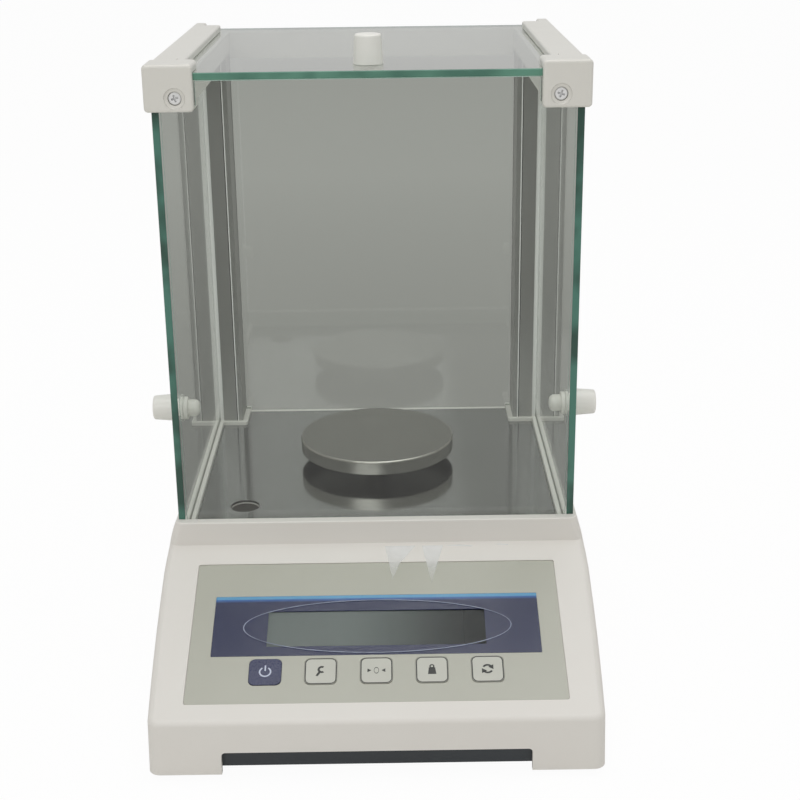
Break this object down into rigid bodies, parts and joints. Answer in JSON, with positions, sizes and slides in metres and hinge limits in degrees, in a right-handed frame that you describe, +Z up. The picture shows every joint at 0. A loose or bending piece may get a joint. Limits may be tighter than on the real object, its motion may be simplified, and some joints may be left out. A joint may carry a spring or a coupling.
{
  "type": "jewelry scale",
  "caption": "Electronic jewelry scale with a round steel pan in a glass draft shield, sliding side and top glasses and a sloping key panel.",
  "frame": {"origin": "centre of the footprint box on the surface that the scale stands on", "axes": "+Z up, -Y towards the user and the key panel, +X to the user's right"},
  "size_m": [0.234, 0.326, 0.3329],
  "materials": {
    "housing_plastic": "fine moulded grain, warm white",
    "tray_plastic": "fine grain, black",
    "floor_steel": "bright brushed sheet",
    "pan_steel": "spun brushed sheet",
    "overlay_film": "satin printed film",
    "bezel_film": "glossy printed film",
    "display_glass": "unlit liquid crystal display",
    "key_plastic": "satin key",
    "power_key_plastic": "satin key, navy",
    "circuit_board": "solder mask",
    "switch_plastic": "plain",
    "connector_plastic": "plain",
    "cast_aluminium": "machined casting",
    "column_aluminium": "anodised extrusion",
    "shield_plastic": "smooth moulding, warm white",
    "pane_glass": "clear float glass with green edges",
    "magnet_iron": "plated soft iron",
    "coil_copper": "enamelled copper winding",
    "spring_steel": "rolled sheet",
    "screw_steel": "plated screw",
    "bush_brass": "turned brass",
    "foot_rubber": "moulded rubber",
    "level_vial": "liquid-filled vial"
  },
  "bodies": {
    "root": {"upper_housing": "housing_plastic", "bottom_tray": "tray_plastic", "chamber_floor": "floor_steel", "control_overlay": "overlay_film", "display_bezel": "bezel_film", "lcd_glass": "display_glass", "lcd_holder": "switch_plastic", "panel_board": "circuit_board", "key_switches": "switch_plastic", "main_board": "circuit_board", "power_jack": "connector_plastic", "serial_port": "connector_plastic", "cell_frame": "cast_aluminium", "magnet_pot": "magnet_iron", "lever_pin": "spring_steel", "level_cup": "tray_plastic", "level_glass": "level_vial", "front_feet": "foot_rubber", "foot_bushes": "bush_brass", "rear_crossbar": "shield_plastic", "front_glass": "pane_glass", "rear_glass": "pane_glass", "frame_screws": "screw_steel", "housing_screws": "screw_steel", "left_door_guide": "shield_plastic", "left_column_foot": "shield_plastic", "left_column": "column_aluminium", "left_top_rail": "shield_plastic", "left_rear_cap": "shield_plastic", "left_front_block": "shield_plastic", "right_door_guide": "shield_plastic", "right_column_foot": "shield_plastic", "right_column": "column_aluminium", "right_top_rail": "shield_plastic", "right_rear_cap": "shield_plastic", "right_front_block": "shield_plastic"},
    "left_door": {"left_door_glass": "pane_glass", "left_door_knob": "shield_plastic", "left_knob_nut": "shield_plastic"},
    "right_door": {"right_door_glass": "pane_glass", "right_door_knob": "shield_plastic", "right_knob_nut": "shield_plastic"},
    "top_door": {"top_door_glass": "pane_glass", "top_door_knob": "shield_plastic", "top_knob_screw": "screw_steel"},
    "pan_carrier": {"load_receiver": "cast_aluminium"},
    "pan": {"weighing_pan": "pan_steel"},
    "lever": {"balance_lever": "cast_aluminium", "coil": "coil_copper"},
    "guide_upper": {"upper_guide": "spring_steel"},
    "guide_lower": {"lower_guide": "spring_steel"},
    "left_foot_base": {"left_foot_pad": "foot_rubber"},
    "left_foot_stud": {"left_foot_screw": "switch_plastic"},
    "right_foot_base": {"right_foot_pad": "foot_rubber"},
    "right_foot_stud": {"right_foot_screw": "switch_plastic"},
    "power_key_button": {"power_key": "power_key_plastic"},
    "set_key_button": {"set_key": "key_plastic"},
    "tare_key_button": {"tare_key": "key_plastic"},
    "calibrate_key_button": {"calibrate_key": "key_plastic"},
    "unit_key_button": {"unit_key": "key_plastic"}
  },
  "joints": [
    {"name": "left_door_slide", "type": "slide", "parent": "root", "child": "left_door", "axis": [0, 1, 0], "range_m": [0, 0.125]},
    {"name": "right_door_slide", "type": "slide", "parent": "root", "child": "right_door", "axis": [0, 1, 0], "range_m": [0, 0.125]},
    {"name": "top_door_slide", "type": "slide", "parent": "root", "child": "top_door", "axis": [0, 1, 0], "range_m": [0, 0.125]},
    {"name": "pan_sink", "type": "slide", "parent": "root", "child": "pan_carrier", "axis": [0, 0, -1], "range_m": [0, 0.0004], "stiffness_N_per_m": 5000, "springref_m": -0.0005},
    {"name": "pan_lift", "type": "slide", "parent": "pan_carrier", "child": "pan", "axis": [0, 0, 1], "range_m": [0, 0.012]},
    {"name": "lever_tilt", "type": "hinge", "parent": "root", "child": "lever", "pos_m": [0, 0.0202, 0.047], "axis": [1, 0, 0], "range_deg": [-1, 0]},
    {"name": "guide_upper_bend", "type": "hinge", "parent": "root", "child": "guide_upper", "pos_m": [0, -0.0038, 0.0576], "axis": [1, 0, 0], "range_deg": [-0.6, 0]},
    {"name": "guide_lower_bend", "type": "hinge", "parent": "root", "child": "guide_lower", "pos_m": [0, -0.0038, 0.0206], "axis": [1, 0, 0], "range_deg": [-0.6, 0]},
    {"name": "power_key_press", "type": "slide", "parent": "root", "child": "power_key_button", "axis": [0, 0.3762, -0.9265], "range_m": [0, 0.0004], "stiffness_N_per_m": 3000, "springref_m": -0.0002},
    {"name": "set_key_press", "type": "slide", "parent": "root", "child": "set_key_button", "axis": [0, 0.3762, -0.9265], "range_m": [0, 0.0004], "stiffness_N_per_m": 3000, "springref_m": -0.0002},
    {"name": "tare_key_press", "type": "slide", "parent": "root", "child": "tare_key_button", "axis": [0, 0.3762, -0.9265], "range_m": [0, 0.0004], "stiffness_N_per_m": 3000, "springref_m": -0.0002},
    {"name": "calibrate_key_press", "type": "slide", "parent": "root", "child": "calibrate_key_button", "axis": [0, 0.3762, -0.9265], "range_m": [0, 0.0004], "stiffness_N_per_m": 3000, "springref_m": -0.0002},
    {"name": "unit_key_press", "type": "slide", "parent": "root", "child": "unit_key_button", "axis": [0, 0.3762, -0.9265], "range_m": [0, 0.0004], "stiffness_N_per_m": 3000, "springref_m": -0.0002},
    {"name": "left_foot_rise", "type": "slide", "parent": "root", "child": "left_foot_base", "axis": [0, 0, -1], "range_m": [0, 0.006]},
    {"name": "left_foot_turn", "type": "hinge", "parent": "left_foot_base", "child": "left_foot_stud", "pos_m": [-0.084, 0.116, 0.01], "axis": [0, 0, -1], "range_deg": [0, 1720]},
    {"name": "right_foot_rise", "type": "slide", "parent": "root", "child": "right_foot_base", "axis": [0, 0, -1], "range_m": [0, 0.006]},
    {"name": "right_foot_turn", "type": "hinge", "parent": "right_foot_base", "child": "right_foot_stud", "pos_m": [0.084, 0.116, 0.01], "axis": [0, 0, -1], "range_deg": [0, 1720]}
  ],
  "couplings": [
    {"joint": "lever_tilt", "follows": "pan_sink", "rad_per_m": -33.557},
    {"joint": "guide_upper_bend", "follows": "pan_sink", "rad_per_m": -18.518},
    {"joint": "guide_lower_bend", "follows": "pan_sink", "rad_per_m": -18.518},
    {"joint": "left_foot_rise", "follows": "left_foot_turn", "m_per_rad": 0.00019894},
    {"joint": "right_foot_rise", "follows": "right_foot_turn", "m_per_rad": 0.00019894}
  ]
}
